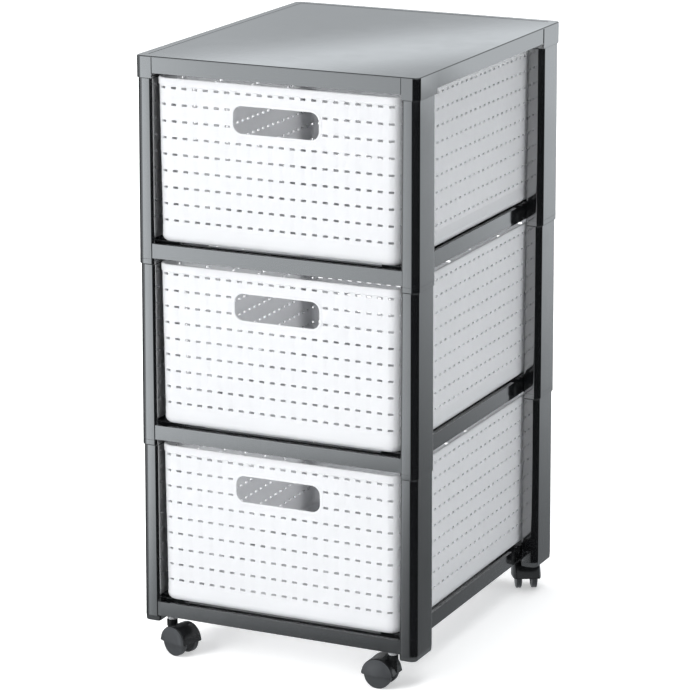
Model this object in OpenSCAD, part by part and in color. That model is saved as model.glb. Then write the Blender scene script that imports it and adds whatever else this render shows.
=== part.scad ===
/* [Tower] */
// Overall width across the corner posts
tower_width = 332; // [312:1:360]
// Overall depth across the corner posts
tower_depth = 397; // [370:1:420]
// Height from one tier to the next
tier_pitch = 204.9; // [190:0.1:225]
// Height of the underside of the lowest corner boots above the floor
castor_drop = 35.5; // [35.5:0.1:38]

/* [Corner posts] */
// Width of a post across the front
post_width = 20; // [19:0.5:24]
// Depth of a post along the side
post_depth = 50; // [46:1:60]
// How much the outer faces lean in from the boot to the shoulder
post_taper = 1.1; // [0.4:0.1:1.4]
// Radius of the two outer upright edges
post_outer_radius = 7; // [4:0.5:8]
// Radius of the two inner upright edges
post_inner_radius = 3.6; // [1:0.2:4]
// Wall thickness of the hollow post
post_wall = 2.6; // [2.4:0.1:3]
// Height of the spigot that plugs into the boot above
spigot_height = 14; // [10:1:16]

/* [Base frame] */
// How far the underside of a rail lies above the boot bottom
rail_lift = 7; // [4:0.2:8]
// Height of the rail face
rail_height = 16.2; // [16:0.2:19]
// Depth of the front and back rails
rail_depth = 16; // [15:0.5:20]
// Width of the lip along the top of a rail face
lip_width = 4.2; // [3:0.1:4.4]
// How much higher the lip of a side rail stands than that of the front rail
side_rise = 2; // [1:0.1:2.4]
// Depth of the gutter behind the lip
gutter_depth = 3; // [2:0.1:3]
// Width of the side rails with their runner ledge
side_width = 26; // [22:1:32]
// Length of the notch between a side rail face and a post
notch_length = 26; // [16:1:34]
// Depth of that notch
notch_depth = 9; // [4:0.5:9]

/* [Basket] */
// Clear gap between the underside of a basket and its rail tops
basket_lift = 2.8; // [2.8:0.1:4]
// Height of a basket
basket_height = 180.2; // [160:0.2:181]
// Setback of the basket front behind the post fronts
basket_setback = 3.6; // [3.6:0.2:12]
// Gap at the rim on each side of a basket
basket_side_gap = 1.2; // [0.8:0.1:3]
// Wall thickness
basket_wall = 2.2; // [1.8:0.1:3]
// Radius of the upright corners
basket_radius = 14; // [8:1:20]
// Width of the handle slot
slot_width = 101; // [80:1:120]
// Height of the handle slot
slot_height = 30; // [24:1:34]
// Depth of the slot top below the rim
slot_drop = 23.5; // [20:0.5:30]

/* [Top cover] */
// Height of the skirt's underside above the seam of the corner blocks
cover_lift = 5.6; // [4:0.2:8]
// Overall height of the cover skirt
cover_height = 18.4; // [17:0.2:24]
// Inset of the sunken top panel
cover_border = 10; // [6:1:20]
// Depth of the sunken top panel
cover_dish = 0.8; // [0.4:0.1:1.2]

/* [Castors] */
// Distance of a castor stem from the side of the tower
stem_inset_x = 30.7; // [30.7:0.1:34]
// Distance of a castor stem from the front or back
stem_inset_y = 9.5; // [8:0.1:10]
// Distance from the stem axis to the wheel axle
castor_trail = 13.5; // [12.5:0.1:14.5]
// Wheel radius
wheel_radius = 16; // [15.5:0.1:16]
// Radius of the hood over the wheels
hood_radius = 18.5; // [18:0.1:18.5]
// Radius of the castor stem
stem_radius = 4; // [3.5:0.1:4]
// Radius of the wheel axle
axle_radius = 2; // [1.5:0.1:2]
// Heading of the front left castor, from stem to axle
heading_fl = -17.8; // [-180:0.1:180]
// Heading of the front right castor
heading_fr = 180; // [-180:0.1:180]
// Heading of the back left castor
heading_bl = 17.8; // [-180:0.1:180]
// Heading of the back right castor
heading_br = -61; // [-180:0.1:180]

/* [Hidden] */

frame_color = "#34373b";
basket_color = "#eef0f1";
hood_color = "#1e1f21";
wheel_color = "#45484b";
steel_color = "#cfd2d4";

half_w = tower_width / 2;
half_d = tower_depth / 2;
rail_top = rail_lift + rail_height;
joint_gap = 0.4;                       // shadow line between a post and the boot above
fit_gap = 0.15;                        // clearance of spigots and tongues in their sockets
shoulder = tier_pitch - joint_gap;
opening_half = half_w - post_width;    // half of the clear width between the posts
runner_top = rail_top + basket_lift - 0.3;
basket_bottom = rail_top + basket_lift;
basket_top = basket_bottom + basket_height;
basket_half_w = opening_half - basket_side_gap - 1;
basket_half_d = half_d - basket_setback;
basket_draft = 1.6;                    // how much narrower each side is at the bottom
slot_top = basket_top - slot_drop;
axle_z = wheel_radius;
rail_under = castor_drop + rail_lift;
web_half = 4.6;                        // half thickness of the castor's middle web
cavity_half = 13.6;                    // inner face of the hood's side covers
collar_height = 4.5;
tongue_z = 17.4;
tongue_h = 4;

// Signs of a corner: first across, then front to back
FL = [0, 0];
FR = [1, 0];
BL = [0, 1];
BR = [1, 1];

function tier_z(t) = castor_drop + (t - 1) * tier_pitch;

// Puts a shape drawn for the front left corner at any corner.
// There x runs inwards from the side and y inwards from the front.
module at_corner(c) {
  mirror([c[0], 0, 0]) mirror([0, c[1], 0])
    translate([-half_w, -half_d, 0]) children();
}

// Rectangle centred on the origin with true round corners
module round_rect(w, d, r, fn = 64) {
  union() {
    square([w - 2 * r, d], center = true);
    square([w, d - 2 * r], center = true);
    for (x = [-1, 1], y = [-1, 1])
      translate([x * (w / 2 - r), y * (d / 2 - r)]) circle(r = r, $fn = fn);
  }
}

// Thin slab of the post plan. The two outer faces move in by the inset.
module post_slab(z, inset) {
  R = post_outer_radius;
  r = post_inner_radius;
  w = post_width;
  d = post_depth;
  translate([0, 0, z]) linear_extrude(0.02)
    union() {
      translate([inset + R, inset + R]) circle(r = R, $fn = 32);
      translate([inset + R, d - R]) circle(r = R, $fn = 32);
      translate([w - r, inset + r]) circle(r = r, $fn = 32);
      translate([w - r, d - r]) circle(r = r, $fn = 32);
    }
}

// Hollow corner post: boot at the foot, web that stands on the spigot
// below, closed shoulder and spigot on top, slot for the frame tongue
module corner_post(t, c) {
  wall = post_wall;
  x0 = post_taper + wall - 0.3;
  y0 = post_taper + wall - 0.3;
  x1 = post_width - wall;
  y1 = post_depth - wall - 0.8;
  g = fit_gap;
  color(frame_color)
    translate([0, 0, tier_z(t)]) at_corner(c)
      difference() {
        union() {
          hull() {
            post_slab(0, 0);
            post_slab(shoulder - 0.02, post_taper);
          }
          translate([x0 + g, y0 + g, shoulder - 1])
            cube([x1 - x0 - 2 * g, y1 - y0 - 2 * g, spigot_height + joint_gap + 1]);
        }
        // boot socket
        translate([x0, y0, -1]) cube([x1 - x0, y1 - y0, spigot_height + 1]);
        // hollow shaft above the bearing web
        translate([x0, y0, spigot_height + 2.4])
          cube([x1 - x0, y1 - y0, shoulder - spigot_height - 5]);
        // hollow spigot
        translate([x0 + g + 2, y0 + g + 2, shoulder - 3])
          cube([x1 - x0 - 2 * g - 4, y1 - y0 - 2 * g - 4, spigot_height + joint_gap + 4]);
        // slot for the tongue of the base frame
        translate([x1 - 1, 12 - g, tongue_z - g])
          cube([wall + 2, post_depth - 24 + 2 * g, tongue_h + 2 * g]);
      }
}

// Rectangular ring under a basket, with a lip and gutter along its rails,
// runners, notched side rails and a tongue at each corner
module base_frame(t) {
  seam = 0.1;
  ix = opening_half;                       // outer face of the side rails
  y_face = half_d - 0.3;                   // front and back rail faces
  y_lip = y_face - lip_width;
  x_in = ix - side_width;
  side_top = rail_top + side_rise;
  y_notch = half_d - post_depth - notch_length;
  color(frame_color)
    translate([0, 0, tier_z(t)])
      difference() {
        union() {
          // front and back rails
          for (m = [0, 1]) mirror([0, m, 0])
            translate([-ix + seam, -y_face, rail_lift])
              cube([2 * (ix - seam), rail_depth, rail_height]);
          for (m = [0, 1]) mirror([m, 0, 0]) {
            // side rails with the runner that carries the basket
            translate([x_in, -y_lip, rail_lift])
              cube([side_width - seam, 2 * y_lip, side_top - rail_lift]);
            translate([x_in, -y_lip + 4, rail_lift])
              cube([side_width - notch_depth, 2 * y_lip - 8, runner_top - rail_lift]);
            for (n = [0, 1]) mirror([0, n, 0])
              translate([ix - 1, -half_d + 12, tongue_z])
                cube([5.5, post_depth - 24, tongue_h]);
          }
        }
        // gutters behind the lips
        for (m = [0, 1]) mirror([0, m, 0])
          translate([-ix + 12, -y_lip, rail_top - gutter_depth])
            cube([2 * ix - 24, 6.5, gutter_depth + 8]);
        for (m = [0, 1]) mirror([m, 0, 0])
          translate([ix - notch_depth, -y_face + rail_depth, side_top - gutter_depth])
            cube([notch_depth - lip_width, 2 * (y_face - rail_depth), gutter_depth + 8]);
        for (m = [0, 1], n = [0, 1]) mirror([m, 0, 0]) mirror([0, n, 0]) {
          // notch beside the post, open upwards over a thin bottom lip
          translate([ix - notch_depth, -half_d + post_depth, rail_lift + 4.6])
            cube([notch_depth + 1, notch_length, rail_height + 8]);
          translate([ix - notch_depth, -half_d + post_depth, rail_lift + 1.6])
            cube([notch_depth + 1, notch_length - 3, 4]);
          translate([ix - notch_depth, -y_notch - 3, rail_lift + 4.6])
            rotate([0, 90, 0]) cylinder(r = 3, h = notch_depth + 1, $fn = 32);
        }
        // channels that hollow the rails from below
        for (m = [0, 1]) mirror([0, m, 0])
          translate([-x_in - 2, -y_face + 2.6, rail_lift - 1])
            cube([2 * x_in + 4, rail_depth - 5.2, rail_height - gutter_depth - 0.8]);
        for (m = [0, 1]) mirror([m, 0, 0])
          translate([x_in + 2.6, -y_notch + 4, rail_lift - 1])
            cube([side_width - 5.2, 2 * y_notch - 8, rail_height - gutter_depth + 1]);
        // bores for the castor stems in the lowest ring only
        if (t == 1)
          for (c = [FL, FR, BL, BR]) at_corner(c)
            translate([stem_inset_x, stem_inset_y, rail_lift - 1])
              cylinder(r = stem_radius + 0.02, h = 12.7, $fn = 48);
      }
}

// Top cover: skirt, sunken panel, four corner blocks with sockets, ribs
module top_cover() {
  g = fit_gap;
  top = cover_lift + cover_height;
  x0 = post_taper + post_wall - 0.3;
  x1 = post_width - post_wall;
  y1 = post_depth - post_wall - 0.8;
  color(frame_color)
    translate([0, 0, tier_z(4)])
      difference() {
        union() {
          // plate and skirt
          difference() {
            translate([0, 0, cover_lift])
              linear_extrude(cover_height)
                round_rect(tower_width, tower_depth, post_outer_radius);
            translate([-half_w + 3, -half_d + 3, cover_lift - 1])
              cube([tower_width - 6, tower_depth - 6, cover_height - 2]);
            // skirt set back a little between the corner blocks
            for (m = [0, 1]) mirror([m, 0, 0])
              translate([half_w - 0.6, -half_d + post_depth, cover_lift - 1])
                cube([2, tower_depth - 2 * post_depth, cover_height - 0.6]);
            for (m = [0, 1]) mirror([0, m, 0])
              translate([-half_w + post_width, -half_d - 1, cover_lift - 1])
                cube([tower_width - 2 * post_width, 1.3, cover_height - 0.6]);
          }
          // stiffening ribs
          for (x = [-half_w / 3, half_w / 3])
            translate([x - 1.2, -half_d + 1.5, top - 6])
              cube([2.4, tower_depth - 3, 5]);
          for (y = [-half_d / 2, 0, half_d / 2])
            translate([-half_w + 1.5, y - 1.2, top - 6])
              cube([tower_width - 3, 2.4, 5]);
          // corner blocks
          for (c = [FL, FR, BL, BR]) at_corner(c)
            intersection() {
              cube([post_width, post_depth, top - 1]);
              translate([half_w, half_d, 0]) linear_extrude(top)
                round_rect(tower_width, tower_depth, post_outer_radius);
            }
        }
        // sockets for the spigots of the upper posts
        for (c = [FL, FR, BL, BR]) at_corner(c)
          translate([x0, x0, -1]) cube([x1 - x0, y1 - x0, spigot_height + 1]);
        // sunken panel
        translate([0, 0, top - cover_dish]) linear_extrude(2)
          round_rect(tower_width - 2 * cover_border,
                     tower_depth - 2 * cover_border, 4);
      }
}

// Thin slab of the basket's plan, drawn in by a given inset
module basket_slab(z, inset) {
  translate([0, 0, z]) linear_extrude(0.02)
    round_rect(2 * (basket_half_w - inset), 2 * (basket_half_d - inset),
               basket_radius - inset * 0.6, 32);
}

// Tapered open box with a rim, a foot band and a handle slot at each end
module basket(t) {
  b = basket_bottom;
  k = basket_top;
  w = basket_wall;
  r = basket_radius;
  color(basket_color)
    translate([0, 0, tier_z(t)])
      difference() {
        union() {
          hull() {
            basket_slab(b, 7);
            basket_slab(b + 2.2, 3.4);
            basket_slab(b + 7, basket_draft);
            basket_slab(k - 0.02, 0);
          }
          // rim
          translate([0, 0, k - 8]) linear_extrude(8)
            round_rect(2 * basket_half_w + 2, 2 * basket_half_d + 1.6, r + 1);
          // raised frame of each handle slot
          for (m = [0, 1]) mirror([0, m, 0])
            translate([0, -basket_half_d + 3, slot_top - slot_height / 2])
              rotate([90, 0, 0]) linear_extrude(3.6)
                round_rect(slot_width + 8, slot_height + 8, 13);
        }
        hull() {
          basket_slab(b + w, 7 + w * 0.6);
          basket_slab(b + 2.2 + w, 3.4 + w);
          basket_slab(b + 7 + w, basket_draft + w);
          basket_slab(k + 0.1, w);
        }
        // handle slots
        for (m = [0, 1]) mirror([0, m, 0])
          translate([0, -basket_half_d + 8, slot_top - slot_height / 2])
            rotate([90, 0, 0]) linear_extrude(16)
              round_rect(slot_width, slot_height, 10);
      }
}

// Puts a castor piece drawn at the origin, with its axle towards +x, in place
module at_castor(c, heading) {
  sx = c[0] == 0 ? -1 : 1;
  sy = c[1] == 0 ? -1 : 1;
  translate([sx * (half_w - stem_inset_x), sy * (half_d - stem_inset_y), 0])
    rotate([0, 0, heading]) children();
}

function heading(c) = c == FL ? heading_fl : c == FR ? heading_fr
                    : c == BL ? heading_bl : heading_br;

// Plug-in stem with the collar that bears on the underside of the rail
module castor_stem(c) {
  color(steel_color) at_castor(c, heading(c))
    union() {
      translate([0, 0, axle_z + 4.5])
        cylinder(r = stem_radius, h = rail_under + 11.5 - axle_z - 4.5, $fn = 48);
      translate([0, 0, rail_under - collar_height])
        cylinder(r = stem_radius + 1.5, h = collar_height, $fn = 48);
    }
}

// Axis along y through the axle
module on_axle() {
  translate([castor_trail, 0, axle_z]) rotate([-90, 0, 0]) children();
}

// Hood: half drum with domed side covers, middle web and swivel boss
module castor_hood(c) {
  R = hood_radius;
  k = cavity_half;
  boss_top = rail_under - collar_height - 0.3;
  color(hood_color) at_castor(c, heading(c))
    difference() {
      union() {
        difference() {
          on_axle() rotate_extrude($fn = 72)
            polygon([[0, -k - 3.6], [6, -k - 3.4], [11, -k - 2.9], [15, -k - 2.1],
                     [17.2, -k - 1.2], [R - 0.3, -k], [R, -k + 1.4],
                     [R, k - 1.4], [R - 0.3, k], [17.2, k + 1.2],
                     [15, k + 2.1], [11, k + 2.9], [6, k + 3.4], [0, k + 3.6]]);
          // wheel wells on both sides of the web
          for (m = [0, 1]) mirror([0, m, 0])
            on_axle() rotate_extrude($fn = 72)
              polygon([[0, web_half], [wheel_radius + 0.9, web_half],
                       [wheel_radius + 0.9, k - 0.8],
                       [wheel_radius - 0.4, k], [0, k + 0.3]]);
          // open below the axle
          translate([castor_trail - R - 1, -20, axle_z - R - 1])
            cube([2 * R + 2, 40, R + 0.8]);
        }
        on_axle() translate([0, 0, -web_half]) cylinder(r = 5.2, h = 2 * web_half, $fn = 48);
        translate([0, 0, axle_z + 1])
          cylinder(r = stem_radius + 1.4, h = boss_top - axle_z - 1, $fn = 48);
      }
      translate([0, 0, axle_z + 4])
        cylinder(r = stem_radius + 0.05, h = 30, $fn = 48);
      on_axle() translate([0, 0, -cavity_half]) cylinder(r = axle_radius + 0.02, h = 2 * cavity_half, $fn = 48);
    }
}

module castor_axle(c) {
  color(steel_color) at_castor(c, heading(c))
    on_axle() translate([0, 0, 0.4 - cavity_half])
      cylinder(r = axle_radius, h = 2 * cavity_half - 0.8, $fn = 48);
}

// Wheel with a hub, a flat tread and a slightly domed outer face
module castor_wheel(c, side) {
  R = wheel_radius;
  a = axle_radius + 0.05;
  color(wheel_color) at_castor(c, heading(c))
    mirror([0, side, 0]) on_axle() rotate_extrude($fn = 72)
      polygon([[a, 5.2], [5, 5.2], [5.6, 6], [R - 0.8, 6], [R, 6.7],
               [R, 11.4], [R - 1, 12.3], [9, 12.9], [a, 13.1]]);
}

top_cover();
base_frame(1);  // base_frame_1
base_frame(2);  // base_frame_2
base_frame(3);  // base_frame_3
corner_post(1, FL);  // post_1_fl
corner_post(1, FR);  // post_1_fr
corner_post(1, BL);  // post_1_bl
corner_post(1, BR);  // post_1_br
corner_post(2, FL);  // post_2_fl
corner_post(2, FR);  // post_2_fr
corner_post(2, BL);  // post_2_bl
corner_post(2, BR);  // post_2_br
corner_post(3, FL);  // post_3_fl
corner_post(3, FR);  // post_3_fr
corner_post(3, BL);  // post_3_bl
corner_post(3, BR);  // post_3_br
basket(1);  // basket_1
basket(2);  // basket_2
basket(3);  // basket_3
castor_stem(FL);  // castor_stem_fl
castor_stem(FR);  // castor_stem_fr
castor_stem(BL);  // castor_stem_bl
castor_stem(BR);  // castor_stem_br
castor_hood(FL);  // castor_hood_fl
castor_hood(FR);  // castor_hood_fr
castor_hood(BL);  // castor_hood_bl
castor_hood(BR);  // castor_hood_br
castor_axle(FL);  // castor_axle_fl
castor_axle(FR);  // castor_axle_fr
castor_axle(BL);  // castor_axle_bl
castor_axle(BR);  // castor_axle_br
castor_wheel(FL, 0);  // wheel_fl_a
castor_wheel(FL, 1);  // wheel_fl_b
castor_wheel(FR, 0);  // wheel_fr_a
castor_wheel(FR, 1);  // wheel_fr_b
castor_wheel(BL, 0);  // wheel_bl_a
castor_wheel(BL, 1);  // wheel_bl_b
castor_wheel(BR, 0);  // wheel_br_a
castor_wheel(BR, 1);  // wheel_br_b
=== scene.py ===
import math

import bmesh
import bpy
from mathutils import Matrix, Vector


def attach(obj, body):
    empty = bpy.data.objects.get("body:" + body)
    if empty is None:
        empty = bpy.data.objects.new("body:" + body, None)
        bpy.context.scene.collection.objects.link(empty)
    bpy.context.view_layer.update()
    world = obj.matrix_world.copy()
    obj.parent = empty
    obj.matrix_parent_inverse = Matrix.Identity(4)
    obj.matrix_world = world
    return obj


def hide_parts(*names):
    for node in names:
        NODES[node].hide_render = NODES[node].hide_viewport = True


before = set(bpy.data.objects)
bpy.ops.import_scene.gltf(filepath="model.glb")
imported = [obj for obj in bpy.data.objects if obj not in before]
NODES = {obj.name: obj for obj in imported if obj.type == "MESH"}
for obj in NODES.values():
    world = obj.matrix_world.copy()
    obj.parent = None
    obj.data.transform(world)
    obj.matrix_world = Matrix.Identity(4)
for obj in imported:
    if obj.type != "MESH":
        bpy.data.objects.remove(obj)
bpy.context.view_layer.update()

MM = 0.001

# ---------------------------------------------------------------- dimensions (mm), as in part.scad
HALF_W, HALF_D = 166.0, 198.5
PITCH, DROP = 204.9, 35.5
POST_W, POST_D, TAPER = 20.0, 50.0, 1.1
R_OUT, R_IN = 7.0, 3.6
SHOULDER = PITCH - 0.4
LIFT, RAIL_H = 7.0, 16.2
RAIL_TOP = LIFT + RAIL_H
B_BOT, B_TOP = RAIL_TOP + 2.8, RAIL_TOP + 2.8 + 180.2
B_HW, B_HD, B_R = 143.8, 194.9, 14.0
DRAFT, WALL = 1.6, 2.2
SLOT_HW, SLOT_HH, SLOT_R = 50.5, 15.0, 10.0
SLOT_Z = B_TOP - 23.5 - 15.0
STEM_X, STEM_Y = HALF_W - 30.7, HALF_D - 9.5
TRAIL, AXLE_Z = 13.5, 16.0
HEAD = {"fl": -17.8, "fr": 180.0, "bl": 17.8, "br": -61.0}
CORNERS = {"fl": (-1, -1), "fr": (1, -1), "bl": (-1, 1), "br": (1, 1)}


def tier_z(t):
    return DROP + (t - 1) * PITCH


# ---------------------------------------------------------------- camera
YAW, TILT = math.radians(25.105), math.radians(15.177)
cam_data = bpy.data.cameras.new("camera")
cam_data.lens = 169.13
cam_data.sensor_width = 36.0
cam_data.sensor_fit = "HORIZONTAL"
cam_data.clip_start, cam_data.clip_end = 0.05, 200.0
camera = bpy.data.objects.new("camera", cam_data)
camera.location = (1.5164, -3.2463, 1.2896)
camera.rotation_euler = (math.pi / 2 - TILT, 0.0, YAW)
bpy.context.scene.collection.objects.link(camera)
bpy.context.scene.camera = camera


# ---------------------------------------------------------------- node helpers
class Tree:
    def __init__(self, tree):
        self.t = tree
        tree.nodes.clear()

    def add(self, kind, **props):
        n = self.t.nodes.new(kind)
        for k, v in props.items():
            setattr(n, k, v)
        return n

    def link(self, a, b):
        self.t.links.new(a, b)

    def math(self, op, a, b=None, c=None, clamp=False):
        n = self.add("ShaderNodeMath", operation=op, use_clamp=clamp)
        for i, v in enumerate((a, b, c)):
            if v is None:
                continue
            if isinstance(v, (int, float)):
                n.inputs[i].default_value = v
            else:
                self.link(v, n.inputs[i])
        return n.outputs[0]

    def ramp(self, value, lo, hi, out_lo=0.0, out_hi=1.0, smooth=True):
        n = self.add("ShaderNodeMapRange", clamp=True)
        n.interpolation_type = "SMOOTHSTEP" if smooth else "LINEAR"
        self.link(value, n.inputs["Value"])
        n.inputs["From Min"].default_value = lo
        n.inputs["From Max"].default_value = hi
        n.inputs["To Min"].default_value = out_lo
        n.inputs["To Max"].default_value = out_hi
        return n.outputs["Result"]

    def noise(self, vec, scale, detail=3.0, rough=0.5, dist=0.0):
        n = self.add("ShaderNodeTexNoise")
        self.link(vec, n.inputs["Vector"])
        n.inputs["Scale"].default_value = scale
        n.inputs["Detail"].default_value = detail
        n.inputs["Roughness"].default_value = rough
        n.inputs["Distortion"].default_value = dist
        return n.outputs["Fac"]

    def mapping(self, vec, scale):
        n = self.add("ShaderNodeMapping")
        self.link(vec, n.inputs["Vector"])
        n.inputs["Scale"].default_value = scale
        return n.outputs["Vector"]

    def mix(self, fac, a, b):
        n = self.add("ShaderNodeMix", data_type="RGBA")
        if isinstance(fac, (int, float)):
            n.inputs[0].default_value = fac
        else:
            self.link(fac, n.inputs[0])
        for s, v in ((6, a), (7, b)):
            if isinstance(v, tuple):
                n.inputs[s].default_value = (*v, 1.0)
            else:
                self.link(v, n.inputs[s])
        return n.outputs[2]

    def bump(self, height, strength, distance, normal=None):
        n = self.add("ShaderNodeBump")
        n.inputs["Strength"].default_value = strength
        n.inputs["Distance"].default_value = distance
        self.link(height, n.inputs["Height"])
        if normal is not None:
            self.link(normal, n.inputs["Normal"])
        return n.outputs["Normal"]


THROUGH = 0.42


def material(name):
    m = bpy.data.materials.new(name)
    m.use_nodes = True
    t = Tree(m.node_tree)
    out = t.add("ShaderNodeOutputMaterial")
    bsdf = t.add("ShaderNodeBsdfPrincipled")
    t.link(bsdf.outputs[0], out.inputs[0])
    tc = t.add("ShaderNodeTexCoord")
    return m, t, bsdf, tc.outputs["Object"]


def frame_plastic(name="anthracite_plastic", lo=0.075, hi=0.105):
    m, t, b, vec = material(name)
    cloud = t.noise(vec, 14.0, 3.0)
    fine = t.noise(vec, 900.0, 2.0)
    t.link(t.mix(cloud, (0.0040, 0.0044, 0.0050), (0.0062, 0.0067, 0.0075)), b.inputs["Base Color"])
    rough = t.ramp(t.noise(vec, 38.0, 4.0, 0.6), 0.25, 0.75, lo, hi)
    t.link(rough, b.inputs["Roughness"])
    streak = t.noise(t.mapping(vec, (1.0, 1.0, 0.05)), 240.0, 2.0)
    n1 = t.bump(streak, 0.05, 0.0001)
    n2 = t.bump(fine, 0.03, 0.00003, n1)
    t.link(n2, b.inputs["Normal"])
    b.inputs["IOR"].default_value = 3.6
    return m


def basket_plastic():
    m, t, b, vec = material("white_plastic")
    cloud = t.noise(vec, 9.0, 3.0)
    t.link(t.mix(cloud, (0.835, 0.842, 0.856), (0.875, 0.880, 0.890)), b.inputs["Base Color"])
    rough = t.ramp(t.noise(vec, 60.0, 4.0, 0.6), 0.25, 0.75, 0.34, 0.44)
    t.link(rough, b.inputs["Roughness"])
    fine = t.noise(vec, 700.0, 3.0)
    wave = t.noise(t.mapping(vec, (1.0, 1.0, 0.12)), 110.0, 2.0)
    n1 = t.bump(wave, 0.12, 0.0005)
    t.link(t.bump(fine, 0.06, 0.00008, n1), b.inputs["Normal"])
    b.inputs["IOR"].default_value = 1.48
    # thin white plastic lets some light through
    thin = t.add("ShaderNodeBsdfTranslucent")
    t.link(t.mix(cloud, (0.90, 0.90, 0.91), (0.93, 0.93, 0.94)), thin.inputs["Color"])
    both = t.add("ShaderNodeMixShader")
    both.inputs[0].default_value = THROUGH
    t.link(b.outputs[0], both.inputs[1])
    t.link(thin.outputs[0], both.inputs[2])
    out = next(n for n in m.node_tree.nodes if n.type == "OUTPUT_MATERIAL")
    t.link(both.outputs[0], out.inputs[0])
    return m


def hood_plastic():
    m, t, b, vec = material("black_plastic")
    cloud = t.noise(vec, 60.0, 3.0)
    t.link(t.mix(cloud, (0.0060, 0.0063, 0.0067), (0.0105, 0.0110, 0.0118)), b.inputs["Base Color"])
    t.link(t.ramp(t.noise(vec, 150.0, 3.0), 0.25, 0.75, 0.20, 0.28), b.inputs["Roughness"])
    t.link(t.bump(t.noise(vec, 1100.0, 2.0), 0.08, 0.00008), b.inputs["Normal"])
    b.inputs["Specular IOR Level"].default_value = 0.7
    return m


def wheel_plastic():
    m, t, b, vec = material("grey_plastic")
    cloud = t.noise(vec, 90.0, 4.0)
    t.link(t.mix(cloud, (0.034, 0.036, 0.039), (0.050, 0.053, 0.057)), b.inputs["Base Color"])
    t.link(t.ramp(t.noise(vec, 260.0, 4.0), 0.25, 0.75, 0.28, 0.36), b.inputs["Roughness"])
    t.link(t.bump(t.noise(vec, 1500.0, 3.0), 0.10, 0.00008), b.inputs["Normal"])
    b.inputs["IOR"].default_value = 1.7
    return m


def steel(name, lo, hi, rough, stretch, metal=1.0):
    m, t, b, vec = material(name)
    streak = t.noise(t.mapping(vec, stretch), 500.0, 3.0)
    t.link(t.mix(streak, lo, hi), b.inputs["Base Color"])
    t.link(t.ramp(streak, 0.2, 0.8, rough, rough + 0.12), b.inputs["Roughness"])
    t.link(t.bump(streak, 0.08, 0.00005), b.inputs["Normal"])
    b.inputs["Metallic"].default_value = metal
    return m


M_FRAME = frame_plastic()
M_LID = frame_plastic("anthracite_lid", 0.022, 0.036)
M_BASKET = basket_plastic()
M_HOOD = hood_plastic()
M_WHEEL = wheel_plastic()
M_CHROME = steel("bright_steel", (0.72, 0.72, 0.74), (0.86, 0.86, 0.87), 0.14, (1, 1, 0.1), 0.6)
M_STEEL = steel("plain_steel", (0.13, 0.13, 0.135), (0.20, 0.20, 0.205), 0.38, (1, 1, 0.3))


# ---------------------------------------------------------------- mesh helpers
def finish_mesh(me, sharp=32.0):
    me.validate()
    for p in me.polygons:
        p.use_smooth = True
    me.set_sharp_from_angle(angle=math.radians(sharp))
    me.update()


def mesh_from(name, verts, faces, mat, sharp=32.0, scale=MM):
    me = bpy.data.meshes.new(name)
    me.from_pydata([(x * scale, y * scale, z * scale) for x, y, z in verts], [], faces)
    me.materials.append(mat)
    bm = bmesh.new()
    bm.from_mesh(me)
    bmesh.ops.recalc_face_normals(bm, faces=bm.faces)
    bm.to_mesh(me)
    bm.free()
    finish_mesh(me, sharp)
    return me


def place(name, me, body, nodes=(), location=(0, 0, 0)):
    ob = bpy.data.objects.new(name, me)
    bpy.context.scene.collection.objects.link(ob)
    ob.location = location
    bpy.context.view_layer.update()
    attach(ob, body)
    if nodes:
        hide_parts(*nodes)
    return ob


def round_poly(points, radii, seg=4):
    """Closed polygon whose corners are rounded with the given radii."""
    out = []
    n = len(points)
    for i, (p, r) in enumerate(zip(points, radii)):
        a, c = Vector(points[i - 1]), Vector(points[(i + 1) % n])
        p = Vector(p)
        if r <= 0:
            out.append(tuple(p))
            continue
        u, v = (a - p), (c - p)
        lu, lv = u.length, v.length
        u.normalize(), v.normalize()
        ang = u.angle(v)
        d = min(r / math.tan(ang / 2), lu * 0.49, lv * 0.49)
        r = d * math.tan(ang / 2)
        q = p + (u + v).normalized() * (r / math.sin(ang / 2))
        s, e = (p + u * d) - q, (p + v * d) - q
        for k in range(seg + 1):
            f = k / seg
            w = math.pi - ang
            x = (math.sin((1 - f) * w) * s + math.sin(f * w) * e) / math.sin(w)
            out.append(tuple(q + x))
    return out


def loft(loops, cap=(True, True)):
    """Verts and faces of a skin through closed loops of equal length."""
    n = len(loops[0])
    verts = [p for lp in loops for p in lp]
    faces = []
    for i in range(len(loops) - 1):
        for j in range(n):
            k = (j + 1) % n
            faces.append((i * n + j, i * n + k, (i + 1) * n + k, (i + 1) * n + j))
    if cap[0]:
        faces.append(tuple(range(n - 1, -1, -1)))
    if cap[1]:
        faces.append(tuple((len(loops) - 1) * n + j for j in range(n)))
    return verts, faces


def join(parts):
    verts, faces = [], []
    for v, f in parts:
        o = len(verts)
        verts += v
        faces += [tuple(i + o for i in face) for face in f]
    return verts, faces


def box_part(x0, x1, y0, y1, z0, z1):
    v = [(x, y, z) for z in (z0, z1) for x, y in ((x0, y0), (x1, y0), (x1, y1), (x0, y1))]
    f = [(3, 2, 1, 0), (4, 5, 6, 7), (0, 1, 5, 4), (1, 2, 6, 5), (2, 3, 7, 6), (3, 0, 4, 7)]
    return v, f


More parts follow.
